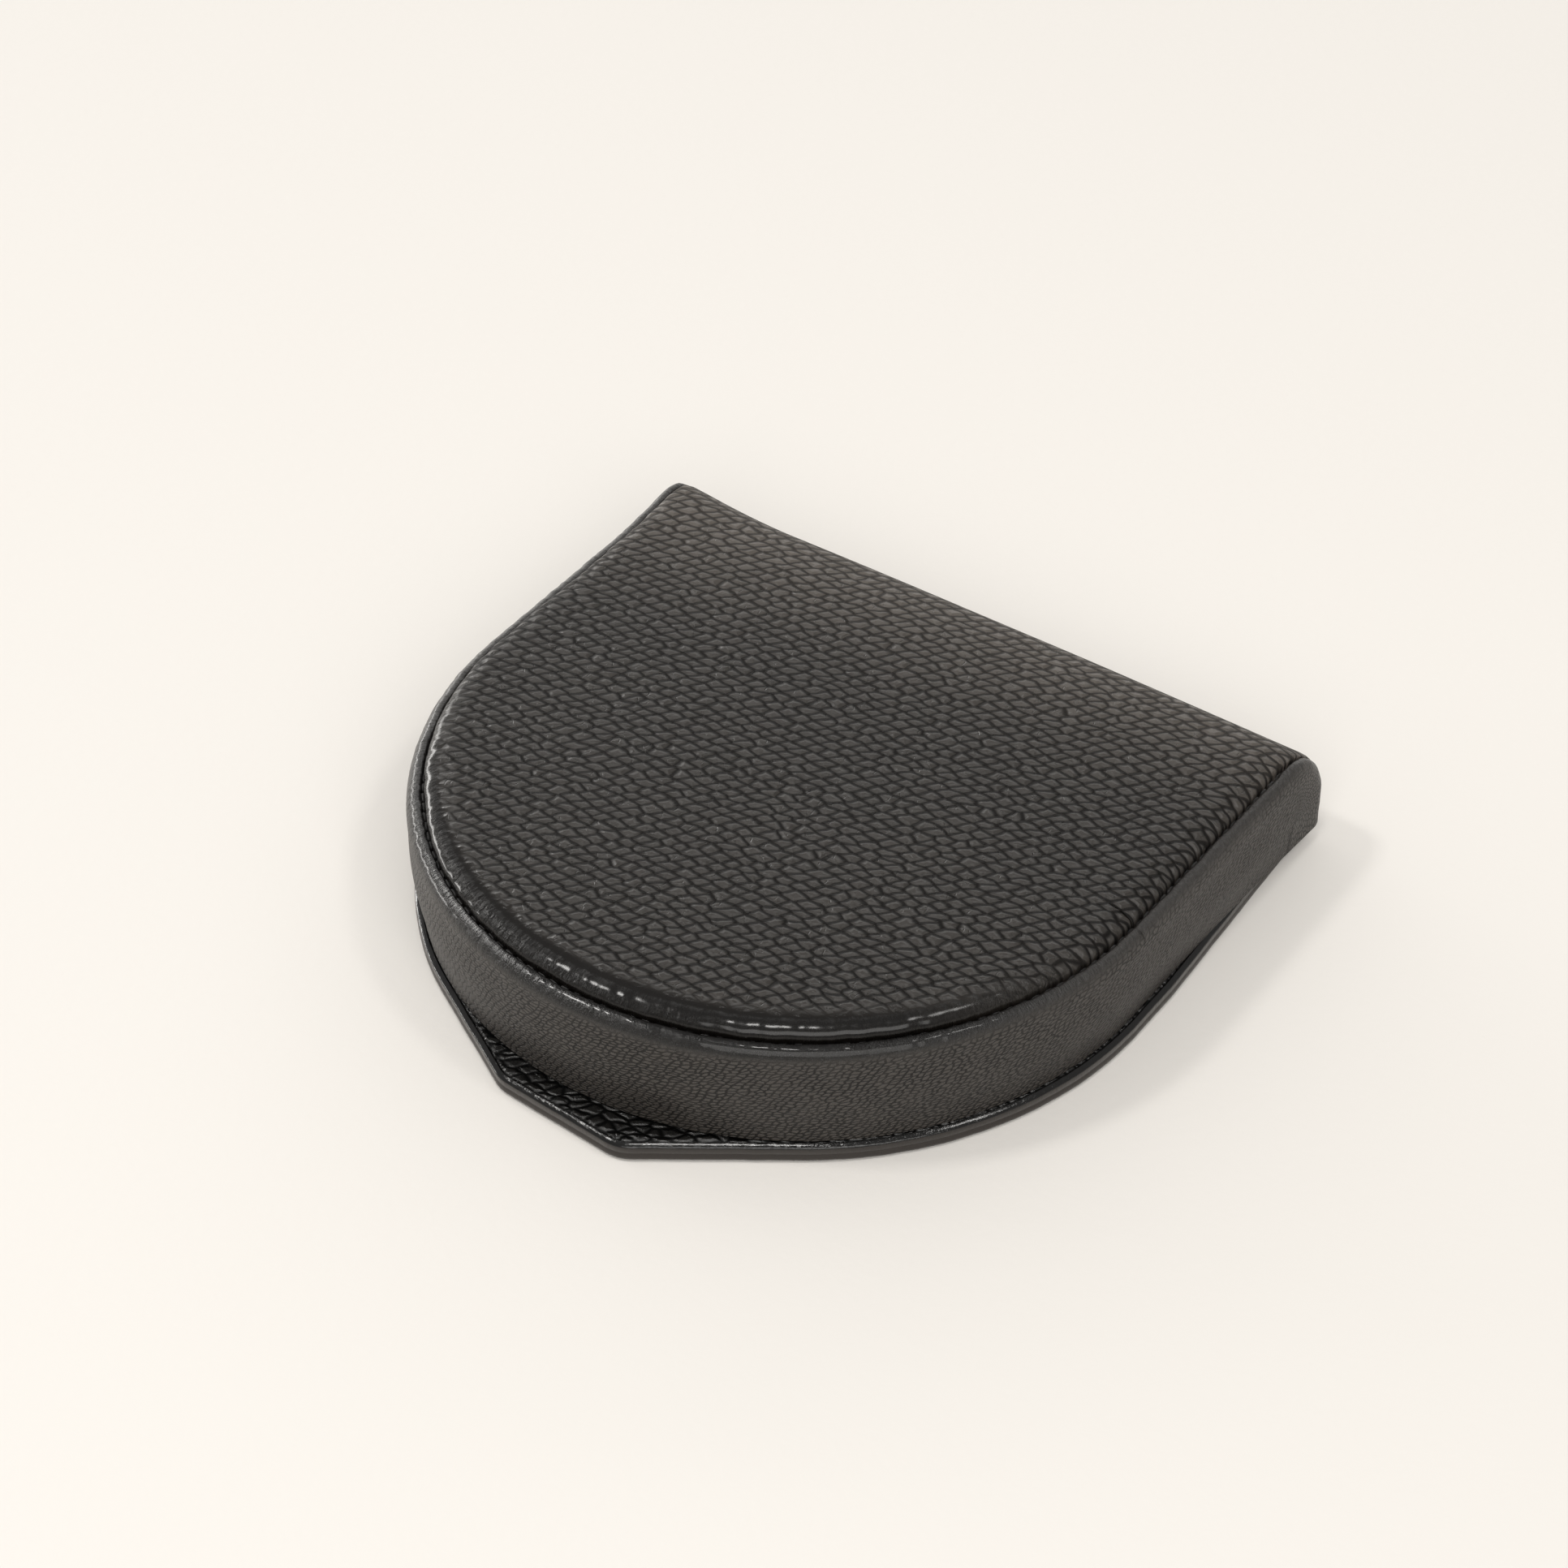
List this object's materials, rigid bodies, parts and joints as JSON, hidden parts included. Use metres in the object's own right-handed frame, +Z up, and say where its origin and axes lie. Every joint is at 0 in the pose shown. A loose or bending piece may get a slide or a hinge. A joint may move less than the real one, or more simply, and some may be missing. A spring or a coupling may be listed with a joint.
{
  "type": "coin purse",
  "caption": "Horseshoe leather coin purse: a padded lid hinged along its straight edge to a flat base with a pull tab, opening on a shallow tray with a part cover.",
  "frame": {"origin": "middle of the underside, on the surface the purse lies on", "axes": "+Z up through the padded lid, +X along the straight hinged edge, -Y towards the round end and its pull tab"},
  "size_m": [0.08, 0.0788, 0.0167],
  "materials": {
    "grain_leather": "semi-matte embossed grain",
    "band_leather": "stretched grain, glossy over the rim",
    "tray_leather": "glossier embossed grain",
    "lining": "matte fine grain",
    "edge_lacquer": "glossy edge paint",
    "fibreboard": "matte",
    "foam": "matte",
    "thread": "twisted thread"
  },
  "bodies": {
    "base": {"base_outer_leather": "grain_leather", "base_stiffener": "fibreboard", "base_inner_leather": "tray_leather", "base_edge_lacquer": "edge_lacquer", "tray_wall_board": "fibreboard", "tray_wall_leather": "tray_leather", "tray_wall_lining": "lining", "tray_floor_lining": "lining", "coin_cover_lining": "lining", "coin_cover_leather": "tray_leather", "coin_cover_stitches": "thread", "hinge_leather": "grain_leather", "hinge_lining": "lining"},
    "lid": {"side_band_leather": "band_leather", "side_band_stiffener": "fibreboard", "side_band_lining": "lining", "top_leather": "grain_leather", "top_foam": "foam", "top_board": "fibreboard", "top_lining": "lining", "spine_leather": "grain_leather", "spine_board": "fibreboard", "spine_lining": "lining", "lid_seam_stitches": "thread"}
  },
  "joints": [
    {"name": "lid_hinge", "type": "hinge", "parent": "base", "child": "lid", "pos_m": [0, 0.039, 0.001], "axis": [-1, 0, 0], "range_deg": [0, 90], "deforming": ["hinge_leather", "hinge_lining"]}
  ]
}
